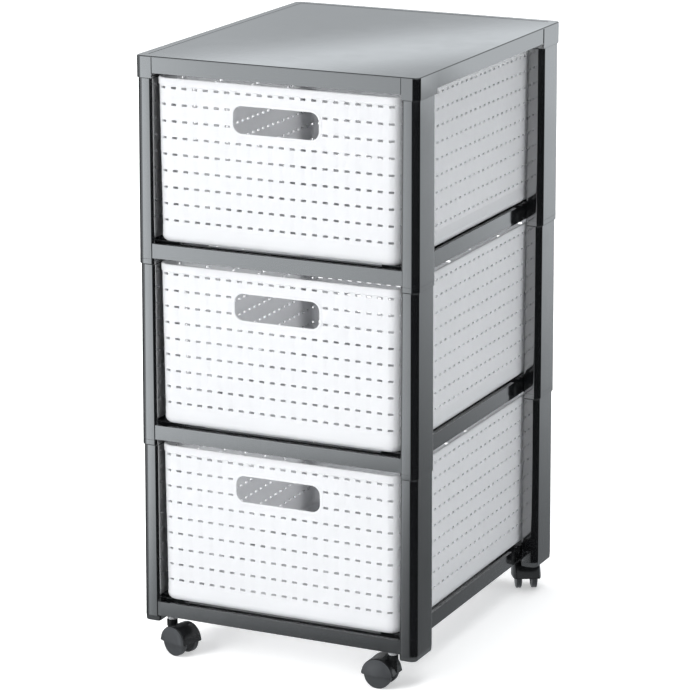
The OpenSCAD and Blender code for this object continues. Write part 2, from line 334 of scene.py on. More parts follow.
def bevelled_copy(node, mat, width, angle=28.0, segments=2, name=None, cut=None, extra=None, shift=None, first=None):
    """A new mesh with the node's shape and small rounded edges; first picks edges for a wider one."""
    src = NODES[node].data
    if first:
        bm = bmesh.new()
        bm.from_mesh(src)
        bmesh.ops.remove_doubles(bm, verts=bm.verts, dist=2e-6)
        bmesh.ops.dissolve_limit(bm, angle_limit=0.01, verts=bm.verts, edges=bm.edges)
        wide = [e for e in bm.edges if first[0](e)]
        bmesh.ops.bevel(bm, geom=wide, offset=first[1], offset_type="OFFSET", segments=5, profile=0.5,
                        affect="EDGES", clamp_overlap=True, loop_slide=True, harden_normals=False)
        src = bpy.data.meshes.new("rounded")
        bm.to_mesh(src)
        bm.free()
    if cut:
        cme = bpy.data.meshes.new("cutter")
        cme.from_pydata([(x * MM, y * MM, z * MM) for x, y, z in cut[0]], [], cut[1])
        cob = bpy.data.objects.new("cutter", cme)
        bpy.context.scene.collection.objects.link(cob)
        tob = bpy.data.objects.new("to_cut", src.copy())
        bpy.context.scene.collection.objects.link(tob)
        mod = tob.modifiers.new("cut", "BOOLEAN")
        mod.operation, mod.solver, mod.object = "DIFFERENCE", "EXACT", cob
        mod.use_self = True
        dg = bpy.context.evaluated_depsgraph_get()
        src = bpy.data.meshes.new_from_object(tob.evaluated_get(dg))
        for o in (tob, cob):
            bpy.data.objects.remove(o)
    bm = bmesh.new()
    bm.from_mesh(src)
    bmesh.ops.remove_doubles(bm, verts=bm.verts, dist=2e-6)
    bmesh.ops.dissolve_limit(bm, angle_limit=0.01, verts=bm.verts, edges=bm.edges)
    if shift:
        for v in bm.verts:
            v.co = shift(v.co)
    lim = math.radians(angle)
    edges = [e for e in bm.edges if len(e.link_faces) == 2 and e.calc_face_angle(0.0) > lim]
    bmesh.ops.bevel(bm, geom=edges, offset=width, offset_type="OFFSET", segments=segments, profile=0.5,
                    affect="EDGES", clamp_overlap=True, loop_slide=True, harden_normals=False)
    if extra:
        vs = [bm.verts.new((x * MM, y * MM, z * MM)) for x, y, z in extra[0]]
        new = [bm.faces.new([vs[i] for i in f]) for f in extra[1]]
        bmesh.ops.recalc_face_normals(bm, faces=new)
    me = bpy.data.meshes.new(name or node)
    bm.to_mesh(me)
    bm.free()
    me.materials.clear()
    me.materials.append(mat)
    finish_mesh(me, 50.0)
    return me


def even_normals(ob):
    mod = ob.modifiers.new("even_normals", "WEIGHTED_NORMAL")
    mod.mode, mod.weight, mod.keep_sharp = "FACE_AREA", 80, True
    return ob


# ---------------------------------------------------------------- posts
def post_loop(z, inset, shrink=0.0):
    """Rounded plan of a front left post; x runs in from the side, y from the front."""
    s = shrink
    a, b = inset + s, inset + s
    w, d = POST_W - s, POST_D - s
    ro, ri = max(R_OUT - s, 1.0), max(R_IN - s, 0.8)
    pts = []

    def arc(cx, cy, r, a0, n):
        for k in range(n + 1):
            q = math.radians(a0 + 90.0 * k / n)
            pts.append((cx + r * math.cos(q), cy + r * math.sin(q), z))

    arc(a + ro, b + ro, ro, 180, 10)
    arc(w - ri, b + ri, ri, 270, 6)
    arc(w - ri, d - ri, ri, 0, 6)
    arc(a + ro, d - ro, ro, 90, 10)
    return pts


def build_post(t, c):
    sx, sy = CORNERS[c]
    rings = [(0.0, 0.35), (0.08, 0.16), (0.25, 0.04), (0.5, 0.0),
             (5.72, 0.0), (5.84, 0.22), (6.16, 0.22), (6.28, 0.0),
             (14.0, 0.0), (60.0, 0.0), (110.0, 0.0), (160.0, 0.0),
             (SHOULDER - 0.5, 0.0), (SHOULDER - 0.25, 0.04), (SHOULDER - 0.08, 0.16), (SHOULDER, 0.35)]
    if t == 1:
        rings[:4] = [(0.0, 0.95), (0.12, 0.70), (0.4, 0.52), (1.0, 0.42)]
        rings[4:8] = [(5.55, 0.10), (5.70, 0.34), (6.10, 0.34), (6.28, 0.0)]
    body = loft([post_loop(z, TAPER * z / SHOULDER, s) for z, s in rings])
    x0, x1, y1 = 3.6, 17.2, 46.4
    box = [(x0, x0), (x1, x0), (x1, y1), (x0, y1)]
    spig = round_poly(box, [1.0] * 4, 3)
    top = loft([[(x, y, z) for x, y in spig] for z in (SHOULDER - 0.5, SHOULDER + 13.4)] +
               [[(x0 + (x - x0) * 0.94 + 0.4, x0 + (y - x0) * 0.97 + 0.6, SHOULDER + 14.2) for x, y in spig]])
    verts, faces = join([body, top])
    verts = [(sx * (HALF_W - x), sy * (HALF_D - y), z + tier_z(t)) for x, y, z in verts]
    me = mesh_from(f"post_shell_{t}_{c}", verts, faces, M_FRAME, 40.0)
    even_normals(place(f"post_shell_{t}_{c}", me, "tower", [f"post_{t}_{c}"]))


for t in (1, 2, 3):
    for c in CORNERS:
        build_post(t, c)

# ---------------------------------------------------------------- base frames and cover
def gutter_ends(t):
    z0 = tier_z(t) + RAIL_TOP - 3.0
    parts = []
    for sx in (-1, 1):
        for sy in (-1, 1):
            x0, x1 = sorted((sx * 133.0, sx * 147.0))
            y0, y1 = sorted((sy * 194.0, sy * 187.5))
            parts.append(box_part(x0, x1, y0, y1, z0, z0 + 9.0))
    return join(parts)


def rail_ends(t):
    """Fillers that carry each rail's face over the rounding of the post beside it."""
    z0, z1 = tier_z(t) + LIFT + 0.05, tier_z(t) + RAIL_TOP - 0.05
    parts = []
    for sx in (-1, 1):
        for sy in (-1, 1):
            pts = [(21.2, 0.29), (17.7, 0.29)]
            for x in (18.2, 18.8, 19.3, 19.7, 19.93):
                pts.append((x, 3.66 - math.sqrt(3.6 ** 2 - (x - 16.4) ** 2) - 0.03))
            pts += [(19.95, 3.9), (21.2, 3.9)]
            loops = [[(sx * (HALF_W - x), sy * (HALF_D - y), z) for x, y in pts] for z in (z0, z1)]
            parts.append(loft(loops))
    return join(parts)


for t in (1, 2, 3):
    me = bevelled_copy(f"base_frame_{t}", M_FRAME, 0.0006, name=f"ring_{t}", cut=gutter_ends(t), extra=rail_ends(t))
    even_normals(place(f"ring_{t}", me, "tower", [f"base_frame_{t}"]))


def lid_grooves():
    """Cutters for the hairline seams between the skirt and the corner blocks."""
    z0, z1 = tier_z(4) - 1.0, tier_z(4) + 24.0 - 1.2
    parts = []
    for sx in (-1, 1):
        for sy in (-1, 1):
            x, y = sx * (HALF_W - POST_W), sy * HALF_D
            parts.append(box_part(x - 0.35, x + 0.35, y - 1.0, y + 1.0, z0, z1))
            x, y = sx * HALF_W, sy * (HALF_D - POST_D)
            parts.append(box_part(x - 1.3, x + 1.3, y - 0.35, y + 0.35, z0, z1))
    return join(parts)


def flush_panel(co):
    top = (tier_z(4) + 24.0) * MM
    inside = abs(co.x) < (HALF_W - 9.9) * MM and abs(co.y) < (HALF_D - 9.9) * MM
    if inside and top - 0.9 * MM < co.z < top - 0.7 * MM:
        return Vector((co.x, co.y, top - 0.22 * MM))
    return co


def on_rim(e):
    """Edges round the outside of the cover's top."""
    top = (tier_z(4) + 24.0) * MM
    return all(v.co.z > top - 0.05 * MM and (abs(v.co.x) > (HALF_W - 8.0) * MM or abs(v.co.y) > (HALF_D - 8.0) * MM)
               for v in e.verts) and len(e.link_faces) == 2 and e.calc_face_angle(0.0) > 0.8


lid_rim = (on_rim, 1.1 * MM)
me = bevelled_copy("top_cover", M_LID, 0.0005, name="lid", cut=lid_grooves(), shift=flush_panel, first=lid_rim)
even_normals(place("lid", me, "tower", ["top_cover"]))


# ---------------------------------------------------------------- baskets
COLS = 104
ROW0, ROW_P, ROWS = 195.6, 18.14, 9
HOLE_HL, HOLE_HH, HOLE_HC = 3.15, 1.4, 1.05     # half length, half height, half height at the ends
WEAVE = 0.15
RIDGE, RIDGE_2 = B_BOT + 17.6, B_BOT + 9.0


def basket_plan(inset):
    return B_HW - inset, B_HD - inset, B_R - inset * 0.6


def plan_point(inset, u, off):
    """Point at column position u (0 to COLS, from the front centre towards +x), moved out by off."""
    hw, hd, r = basket_plan(inset)
    sx, sy, arc = 2 * (hw - r), 2 * (hd - r), math.pi / 2 * r
    total = 2 * sx + 2 * sy + 4 * arc
    s = (u / COLS * total) % total
    legs = [("x", sx / 2), ("a", arc), ("y", sy), ("a", arc), ("x", sx), ("a", arc), ("y", sy), ("a", arc), ("x", sx / 2)]
    heading = 0.0
    x, y = 0.0, -hd
    for kind, length in legs:
        if s <= length or length == legs[-1][1] and kind == "x" and heading > 300:
            break
        if kind == "a":
            q = math.radians(heading)
            cx, cy = x - r * math.sin(q), y + r * math.cos(q)
            heading += 90
            q = math.radians(heading)
            x, y = cx + r * math.sin(q), cy - r * math.cos(q)
        else:
            q = math.radians(heading)
            x, y = x + length * math.cos(q), y + length * math.sin(q)
        s -= length
    q = math.radians(heading)
    if kind == "a":
        cx, cy = x - r * math.sin(q), y + r * math.cos(q)
        q += s / r
        nx, ny = math.sin(q), -math.cos(q)
        return cx + (r + off) * nx, cy + (r + off) * ny
    nx, ny = math.sin(q), -math.cos(q)
    return x + s * math.cos(q) + off * nx, y + s * math.sin(q) + off * ny


def inset_at(z):
    """Inset of the outer skin at height z: the draft above the foot, the foot rounding below it."""
    zb = B_BOT + 7.0
    if z >= zb:
        return DRAFT * (B_TOP - z) / (B_TOP - zb)
    f = min(1.0, (zb - z) / 7.0)
    return DRAFT + 5.4 * (1.0 - math.sqrt(max(0.0, 1.0 - f * f)))


def weave(u, z):
    """Plain weave relief in mm: raised warp cells and lower weft cells between the holes."""
    v = (ROW0 - z) / ROW_P
    cj = math.floor(v + 1e-6)
    if cj < 0 or cj > ROWS - 2:
        return 0.0
    ci = math.floor(u + 0.5)
    a = abs(2 * (u - ci))
    b = abs(2 * (v - cj) - 1)
    if (ci + cj) % 2 == 0:
        return WEAVE * (0.30 + 0.70 * (1.0 - b * b))
    return WEAVE * (0.42 * (1.0 - a * a) - 0.10)


def band(z):
    """Rim, foot ridge and other bands that run right round, in mm outwards."""
    h = 0.0
    if z > 197.7:
        h = 0.95
        if z > 205.0:
            h -= 0.75 * ((z - 205.0) / 1.2) ** 2
        elif z < 198.5:
            h *= (z - 197.7) / 0.8
    if z < RIDGE:
        h = 0.30 * min(1.0, (RIDGE - z) / 0.6)
    if z < RIDGE_2:
        h += 0.38 * min(1.0, (RIDGE_2 - z) / 0.6)
    return h


def basket_mesh():
    hw, hd, r = basket_plan(DRAFT / 2)
    pitch_u = (4 * (hw - r) + 4 * (hd - r) + 2 * math.pi * r) / COLS
    # column lines
    us = []
    for i in range(COLS):
        us.append((float(i), "m"))
        for d in (-3.15, -2.8, -0.35, 0.35, 2.8, 3.15):
            us.append((i + 0.5 + d / pitch_u, d))
    zs = [206.2, 206.0, 205.6, 205.0, 201.8, 198.5, 197.7]
    for k in range(ROWS):
        z0 = ROW0 - k * ROW_P
        zs += [z0 + HOLE_HH, z0 + HOLE_HC, z0 - HOLE_HC, z0 - HOLE_HH]
        if k < ROWS - 1:
            zs += [z0 - 5.2, z0 - ROW_P / 2, z0 - ROW_P + 5.2]
    zs += [46.8, RIDGE, RIDGE - 0.6, RIDGE_2, RIDGE_2 - 0.6]
    zs += [B_BOT + 7.0 * (1 - math.sin(math.radians(q))) for q in (0, 18, 36, 54, 72, 90)]
    nu, nz = len(us), len(zs)
    slot_zone = lambda u, z: abs(u if u < COLS / 2 else u - COLS) <= 4.5 - 3.15 / pitch_u + 1e-4 or abs(
        u - COLS / 2) <= 4.5 - 3.15 / pitch_u + 1e-4

    z_hi, z_lo = ROW0 - 5.2, ROW0 - 3 * ROW_P + 5.2   # zone around a handle slot

    def near_slot_z(z):
        return z_lo - 1e-3 <= z <= z_hi + 1e-3

    def off_slot(u):
        d = min(u, COLS - u)
        return min(d, abs(u - COLS / 2))

    half_zone = 4.5 - 3.15 / pitch_u
    verts, faces = [], []
    grid = []
    for z in zs:
        ins = inset_at(z)
        row = []
        for u, tag in us:
            h = band(z)
            if RIDGE < z < 197.1:
                h += weave(u, z - 1e-4 if z > 0 else z)
            x, y = plan_point(ins, u, h)
            row.append(len(verts))
            verts.append((x, y, z))
        grid.append(row)

    # inner skin lines
    iu = [j for j, (u, tag) in enumerate(us) if tag in (-3.15, -2.8, 2.8, 3.15)]
    izs = [206.0, 205.2]
    for k in range(ROWS):
        z0 = ROW0 - k * ROW_P
        izs += [z0 + HOLE_HH, z0 + HOLE_HC, z0 - HOLE_HC, z0 - HOLE_HH]
    for z in (z_hi, z_lo):
        izs.append(z)
    foot_z = RIDGE_2 + 1.0
    izs = sorted(set(izs), reverse=True) + [foot_z]
    izs += [B_BOT + WALL + 5.2 * (1 - math.sin(math.radians(q))) for q in (0, 22.5, 45, 67.5, 90)]
    inner = []
    for z in izs:
        if z >= foot_z - 1e-6:
            ins, off = inset_at(z), -WALL
        else:
            f = (B_BOT + WALL + 5.2 - z) / 5.2
            ins, off = DRAFT, -WALL - 5.0 * (1.0 - math.sqrt(max(0.0, 1.0 - f * f)))
        row = []
        for j in iu:
            x, y = plan_point(ins, us[j][0], off)
            row.append(len(verts))
            verts.append((x, y, z))
        inner.append(row)

    def hole_row(z):
        k = round((ROW0 - z) / ROW_P)
        return k if 0 <= k < ROWS and abs(z - (ROW0 - k * ROW_P)) < HOLE_HH - 0.1 else None

    def is_hole(col, k):
        u = col + 0.5
        return not (k in (1, 2) and off_slot(u) < 4.2)

    # outer skin
    for i in range(nz - 1):
        zt, zb = zs[i], zs[i + 1]
        zm = (zt + zb) / 2
        k = hole_row(zm)
        for j in range(nu):
            j2 = (j + 1) % nu
            u0, u1 = us[j][0], us[j2][0] if j2 else float(COLS)
            um = (u0 + u1) / 2
            if near_slot_z(zm) and off_slot(um) < half_zone:
                continue
            quad = (grid[i][j], grid[i + 1][j], grid[i + 1][j2], grid[i][j2])
            if k is not None:
                col = math.floor(um)
                du = (um - col - 0.5) * pitch_u
                dz = zm - (ROW0 - k * ROW_P)
                if abs(du) < HOLE_HL and abs(dz) < HOLE_HH and is_hole(col, k):
                    if abs(du) > 2.8 and abs(dz) > HOLE_HC:
                        a, b_, c_, d_ = quad        # top left, bottom left, bottom right, top right
                        if du > 0 and dz > 0:
                            faces.append((a, c_, d_))
                        elif du > 0:
                            faces.append((b_, c_, d_))
                        elif dz > 0:
                            faces.append((a, b_, d_))
                        else:
                            faces.append((a, b_, c_))
                    continue
            faces.append(quad)
    # inner skin
    ni = len(iu)
    for i in range(len(izs) - 1):
        zt, zb = izs[i], izs[i + 1]
        zm = (zt + zb) / 2
        k = hole_row(zm)
        for j in range(ni):
            j2 = (j + 1) % ni
            u0, u1 = us[iu[j]][0], us[iu[j2]][0] if j2 else us[iu[0]][0] + COLS
            um = ((u0 + u1) / 2) % COLS
            if near_slot_z(zm) and off_slot(um) < half_zone:
                continue
            quad = (inner[i][j], inner[i][j2], inner[i + 1][j2], inner[i + 1][j])
            if k is not None:
                col = math.floor(um)
                du = (um - col - 0.5) * pitch_u
                dz = zm - (ROW0 - k * ROW_P)
                if abs(du) < HOLE_HL and abs(dz) < HOLE_HH and is_hole(col, k):
                    if abs(du) > 2.8 and abs(dz) > HOLE_HC:
                        a, d_, c_, b_ = quad
                        if du > 0 and dz > 0:
                            faces.append((a, d_, c_))
                        elif du > 0:
                            faces.append((b_, d_, c_))
                        elif dz > 0:
                            faces.append((a, d_, b_))
                        else:
                            faces.append((a, c_, b_))
                    continue
            faces.append(quad)
    # hole walls
    zi = {round(z, 3): i for i, z in enumerate(zs)}
    zii = {round(z, 3): i for i, z in enumerate(izs)}
    tag_o = {}
    for j, (u, tag) in enumerate(us):
        if tag != "m":
            tag_o[(math.floor(u), tag)] = j
    tag_i = {}
    for jj, j in enumerate(iu):
        tag_i[(math.floor(us[j][0]), us[j][1])] = jj
    for k in range(ROWS):
        z0 = ROW0 - k * ROW_P
        for col in range(COLS):
            if not is_hole(col, k):
                continue
            O = lambda d, dz: grid[zi[round(z0 + dz, 3)]][tag_o[(col, d)]]
            I = lambda d, dz: inner[zii[round(z0 + dz, 3)]][tag_i[(col, d)]]
            hh, hc = HOLE_HH, HOLE_HC
            ring = [(-3.15, -hc), (-3.15, hc), (-2.8, hh), (2.8, hh), (3.15, hc), (3.15, -hc), (2.8, -hh), (-2.8, -hh)]
            for a in range(8):
                p, q = ring[a], ring[(a + 1) % 8]
                if abs(p[0]) == 2.8 and abs(q[0]) == 2.8:
                    s = 1 if q[0] > p[0] else -1
                    mid = (O(-0.35 * s, p[1]), O(0.35 * s, p[1]))
                    faces.append((O(*p), *mid, O(*q), I(*q), I(*p)))
                else:
                    faces.append((O(*p), O(*q), I(*q), I(*p)))
    # top of the rim
    for j in range(ni):
        j2 = (j + 1) % ni
        a, b_ = iu[j], iu[j2]
        span = [grid[0][(a + s) % nu] for s in range(((b_ - a) % nu) + 1)]
        faces.append((*span, inner[0][j2], inner[0][j]))
    # floor: foot ring, underside and inside
    last = grid[-1]
    foot = []
    for j in range(nu):
        x, y = plan_point(7.0, us[j][0], -3.0)
        foot.append(len(verts))
        verts.append((x, y, B_BOT))
    foot2 = []
    for j in range(nu):
        x, y = plan_point(7.0, us[j][0], -3.6)
        foot2.append(len(verts))
        verts.append((x, y, B_BOT + 0.7))
    for ra, rb in ((last, foot), (foot, foot2)):
        for j in range(nu):
            j2 = (j + 1) % nu
            faces.append((ra[j], rb[j], rb[j2], ra[j2]))
    faces.append(tuple(foot2))
    li = inner[-1]
    faces.append(tuple(li))

    # handle slots
    def slot_point(off, p):
        """Nearest point to p on the slot outline grown by off."""
        hw, hh, r = SLOT_HW + off, SLOT_HH + off, SLOT_R + off
        x, z = p[0], p[1] - SLOT_Z
        cx, cz = hw - r, hh - r
        sx, sz = (1 if x >= 0 else -1), (1 if z >= 0 else -1)
        ax, az = abs(x) - cx, abs(z) - cz
        if ax > 0 and az > 0:
            d = math.hypot(ax, az)
            return sx * (cx + ax / d * r), sz * (cz + az / d * r) + SLOT_Z
        if az <= 0 and (ax > 0 or hw - abs(x) < hh - abs(z)):
            return sx * hw, z + SLOT_Z
        return x, sz * hh + SLOT_Z

    def boundary(rows_z, lines, table_, side):
        """Indices around the zone of one slot in order, each with (s, z)."""
        rows = [i for i, z in enumerate(rows_z) if near_slot_z(z)]
        cols = [(j, (u - COLS if side == 0 and u > COLS / 2 else u - side * COLS / 2)) for j, u in lines
                if off_slot(u) <= half_zone + 1e-4 and (min(u, COLS - u) < 6) == (side == 0)]
        cols.sort(key=lambda c: c[1])
        loop = [(table_[rows[0]][j], (d * pitch_u, rows_z[rows[0]])) for j, d in cols]
        loop += [(table_[i][cols[-1][0]], (cols[-1][1] * pitch_u, rows_z[i])) for i in rows[1:-1]]
        loop += [(table_[rows[-1]][j], (d * pitch_u, rows_z[rows[-1]])) for j, d in reversed(cols)]
        loop += [(table_[i][cols[0][0]], (cols[0][1] * pitch_u, rows_z[i])) for i in reversed(rows[1:-1])]
        return loop

    def zone_ring(loop, off, out, side):
        ring = []
        for _, p in loop:
            s, z = slot_point(off, p)
            ins = inset_at(z)
            y = -(B_HD - ins + out)
            ring.append(len(verts))
            verts.append((s, y, z) if side == 0 else (-s, -y, z))
        return ring

    for side in (0, 1):
        lo = boundary(zs, [(j, u) for j, (u, tag) in enumerate(us)], grid, side)
        rings = [[i for i, _ in lo]]
        for off, out in ((3.3, 0.0), (3.0, 0.15), (2.4, 0.28), (1.2, 0.32), (0.55, 0.24), (0.12, 0.0), (0.0, -0.5)):
            rings.append(zone_ring(lo, off, out, side))
        inn = boundary(izs, [(jj, us[j][0]) for jj, j in enumerate(iu)], inner, side)
        # the far side of the slot wall, on the outer loop's points, then the inner zone
        rings.append(zone_ring(lo, 0.0, -WALL + 0.5, side))
        rings.append(zone_ring(lo, 0.25, -WALL, side))
        for ra, rb in zip(rings, rings[1:]):
            n = len(ra)
            for j in range(n):
                j2 = (j + 1) % n
                faces.append((ra[j], rb[j], rb[j2], ra[j2]))
        # stitch the last ring to the coarser inner loop
        last_ring = rings[-1]
        pos = {p: n for n, (_, p) in enumerate([(0, (round(q[0], 3), round(q[1], 3))) for _, q in lo])}
        keys = [(round(q[0], 3), round(q[1], 3)) for _, q in inn]
        at = []
        for kx in keys:
            best = min(range(len(lo)), key=lambda n: (lo[n][1][0] - kx[0]) ** 2 + (lo[n][1][1] - kx[1]) ** 2)
            at.append(best)
        m, n = len(inn), len(lo)
        for a in range(m):
            b_ = (a + 1) % m
            span = []
            q = at[a]
            while True:
                span.append(last_ring[q])
                if q == at[b_]:
                    break
                q = (q + 1) % n
            faces.append((inn[a][0], inn[b_][0], *reversed(span)))
    return verts, faces


bv, bf = basket_mesh()
basket_me = mesh_from("woven_basket", bv, bf, M_BASKET, 34.0)
for t in (1, 2, 3):
    place(f"woven_basket_{t}", basket_me, f"basket_{t}", [f"basket_{t}"], (0, 0, tier_z(t) * MM))

# ---------------------------------------------------------------- castors
def revolve(profile, a0, a1, n, close=False):
    """Skin of a closed (radius, along) profile turned about the axle; angles in degrees."""
    full = abs(a1 - a0) > 359.0
    verts, faces = [], []
    m = len(profile)
    steps = n if full else n + 1
    for i in range(steps):
        q = math.radians(a0 + (a1 - a0) * i / n)
        for r, y in profile:
            verts.append((TRAIL + r * math.cos(q), y, AXLE_Z + r * math.sin(q)))
    for i in range(n):
        i2 = (i + 1) % steps
        for j in range(m):
            j2 = (j + 1) % m
            if profile[j][0] < 1e-6 and profile[j2][0] < 1e-6:
                continue
            quad = [i * m + j, i * m + j2, i2 * m + j2, i2 * m + j]
            if profile[j][0] < 1e-6:
                quad = [i * m + j, i * m + j2, i2 * m + j2]
            elif profile[j2][0] < 1e-6:
                quad = [i * m + j, i * m + j2, i2 * m + j]
            faces.append(tuple(quad))
    if not full:
        faces.append(tuple(range(m)))
        faces.append(tuple((steps - 1) * m + j for j in range(m - 1, -1, -1)))
    return verts, faces


def turned(profile, n=40, x=0.0):
    """Upright turned part from a (radius, height) profile that starts and ends on its axis."""
    verts, faces = [], []
    m = len(profile)
    for i in range(n):
        q = 2 * math.pi * i / n
        verts += [(x + r * math.cos(q), r * math.sin(q), z) for r, z in profile]
    for i in range(n):
        i2 = (i + 1) % n
        for j in range(m - 1):
            a, b_ = profile[j][0] < 1e-6, profile[j + 1][0] < 1e-6
            quad = [i * m + j, i2 * m + j, i2 * m + j + 1, i * m + j + 1]
            if a:
                quad = [i * m + j, i2 * m + j + 1, i * m + j + 1]
            elif b_:
                quad = [i * m + j, i2 * m + j, i * m + j + 1]
            faces.append(tuple(quad))
    return verts, faces


def castor_piece(name, part, c, mats, body, nodes, sharp=34.0, flip=False, pick=None):
    sx, sy = CORNERS[c]
    a = math.radians(HEAD[c])
    ca, sa = math.cos(a), math.sin(a)
    verts = []
    for x, y, z in part[0]:
        y = -y if flip else y
        verts.append((sx * STEM_X + x * ca - y * sa, sy * STEM_Y + x * sa + y * ca, z))
    me = bpy.data.meshes.new(name)
    me.from_pydata([(x * MM, y * MM, z * MM) for x, y, z in verts], [], part[1])
    for m in mats:
        me.materials.append(m)
    bm = bmesh.new()
    bm.from_mesh(me)
    bmesh.ops.remove_doubles(bm, verts=bm.verts, dist=1e-6)
    bmesh.ops.recalc_face_normals(bm, faces=bm.faces)
    if pick:
        for f in bm.faces:
            p = f.calc_center_median() / MM
            dx, dy = p.x - sx * STEM_X, p.y - sy * STEM_Y
            f.material_index = pick(dx * ca + dy * sa, -dx * sa + dy * ca, p.z)
    bm.to_mesh(me)
    bm.free()
    finish_mesh(me, sharp)
    return even_normals(place(name, me, body, nodes))


K, WEB, HOOD_R, WHEEL_R = 13.6, 4.6, 18.5, 16.0
UNDER = DROP + LIFT


def hood_part():
    half = [(0.0, K + 3.6), (3.0, K + 3.55), (6.0, K + 3.4), (9.0, K + 3.12), (12.0, K + 2.72), (14.5, K + 2.22),
            (16.2, K + 1.68), (17.3, K + 1.08), (18.0, K + 0.42), (18.32, K - 0.3), (HOOD_R, K - 1.3),
            (HOOD_R - 0.02, 10.0), (HOOD_R - 0.10, 7.0), (HOOD_R - 0.16, 4.0), (HOOD_R - 0.18, 1.4)]
    inner = [(0.0, -K - 0.3), (WHEEL_R - 0.4, -K), (WHEEL_R + 0.9, -K + 0.8), (WHEEL_R + 0.9, -WEB), (0.0, -WEB),
             (0.0, WEB), (WHEEL_R + 0.9, WEB), (WHEEL_R + 0.9, K - 0.8), (WHEEL_R - 0.4, K), (0.0, K + 0.3)]
    profile = half + [(r, -y) for r, y in reversed(half)] + inner
    shell_ = revolve(profile, 0.0, 180.0, 48)
    # the ends flare a little into small ears
    m = len(profile)
    verts = list(shell_[0])
    for ring, sgn in ((0, 1), (1, 1), (2, 1), (46, -1), (47, -1), (48, -1)):
        amount = {0: -0.15, 1: 0.32, 2: 0.12, 46: 0.12, 47: 0.32, 48: 0.45}[ring]
        for j, (r, y) in enumerate(profile):
            if r > 17.9:
                x, yy, z = verts[ring * m + j]
                verts[ring * m + j] = (x + sgn * amount, yy, z)
    hub = []
    hv, hf = [], []
    n = 32
    for y in (-WEB, WEB):
        for i in range(n):
            q = 2 * math.pi * i / n
            hv.append((TRAIL + 5.2 * math.cos(q), y, AXLE_Z + 5.2 * math.sin(q)))
    for i in range(n):
        hf.append((i, (i + 1) % n, n + (i + 1) % n, n + i))
    hf.append(tuple(range(n - 1, -1, -1)))
    hf.append(tuple(range(n, 2 * n)))
    top = UNDER - 4.5 - 0.3
    boss = turned([(0.0, 18.0), (5.4, 18.0), (5.4, top - 8.2), (6.0, top - 7.6), (6.0, top - 6.2), (5.4, top - 6.2), (5.4, top - 5.7), (6.0, top - 5.6),
                   (6.0, top - 0.7), (5.4, top), (0.0, top)], 40)
    return join([(verts, shell_[1]), (hv, hf), boss])


def wheel_part():
    R = WHEEL_R
    profile = [(2.05, 5.2), (5.0, 5.2), (5.6, 6.0), (7.2, 6.0), (7.8, 6.9), (13.2, 6.9), (13.8, 6.0), (R - 0.9, 6.0),
               (R - 0.3, 6.2), (R, 6.8), (R, 8.6), (R - 0.35, 8.9), (R - 0.35, 9.5), (R, 9.8), (R, 11.3),
               (R - 0.25, 11.9), (R - 0.9, 12.3), (12.5, 12.62), (9.0, 12.9), (5.0, 13.05), (2.05, 13.1)]
    return revolve(profile, 0.0, 360.0, 64)


def stem_part():
    c0, c1 = UNDER - 4.5, UNDER
    return turned([(0.0, 20.5), (3.6, 20.5), (4.0, 20.9), (4.0, c0), (5.1, c0), (5.5, c0 + 0.4), (5.5, c1 - 0.4),
                   (5.1, c1), (4.0, c1), (4.0, UNDER + 11.0), (3.5, UNDER + 11.5), (0.0, UNDER + 11.5)], 40)


HOOD, WHEEL, STEM = hood_part(), wheel_part(), stem_part()
for c in CORNERS:
    castor_piece(f"castor_shell_{c}", HOOD, c, [M_HOOD, M_WHEEL], f"castor_{c}", [f"castor_hood_{c}"],
                 pick=lambda x, y, z: 1 if abs(y) > K + 0.35 and (x - TRAIL) ** 2 + (z - AXLE_Z) ** 2 < 18.2 ** 2 else 0)
    castor_piece(f"plug_{c}", STEM, c, [M_CHROME], "tower", [f"castor_stem_{c}"])
    for side_, flip in (("a", False), ("b", True)):
        castor_piece(f"roller_{c}_{side_}", WHEEL, c, [M_WHEEL], f"wheel_{c}_{side_}", [f"wheel_{c}_{side_}"],
                     flip=flip)

for n, o in NODES.items():
    kind = n.split("_")[0] + "_" + n.split("_")[1] if n.startswith("castor") else n.split("_")[0]
    mat = {"castor_stem": M_CHROME, "castor_axle": M_STEEL, "castor_hood": M_HOOD, "wheel": M_WHEEL,
           "basket": M_BASKET}.get(kind, M_FRAME)
    for s in o.material_slots:
        s.material = mat

# ---------------------------------------------------------------- stage and light
floor_me = bpy.data.meshes.new("floor")
F = 60.0
floor_me.from_pydata([(-F, -F, 0), (F, -F, 0), (F, F, 0), (-F, F, 0)], [], [(0, 1, 2, 3)])
fm, ft, fb, fvec = material("pale_floor")
tint = ft.mix(ft.noise(fvec, 1.2, 2.0), (0.86, 0.86, 0.86), (0.88, 0.88, 0.88))
ft.link(tint, fb.inputs["Base Color"])
ft.link(tint, fb.inputs["Emission Color"])
fb.inputs["Emission Strength"].default_value = 0.52
fb.inputs["Roughness"].default_value = 0.9
fb.inputs["Specular IOR Level"].default_value = 0.1
floor_me.materials.append(fm)
floor = bpy.data.objects.new("floor", floor_me)
bpy.context.scene.collection.objects.link(floor)
floor.visible_glossy = False

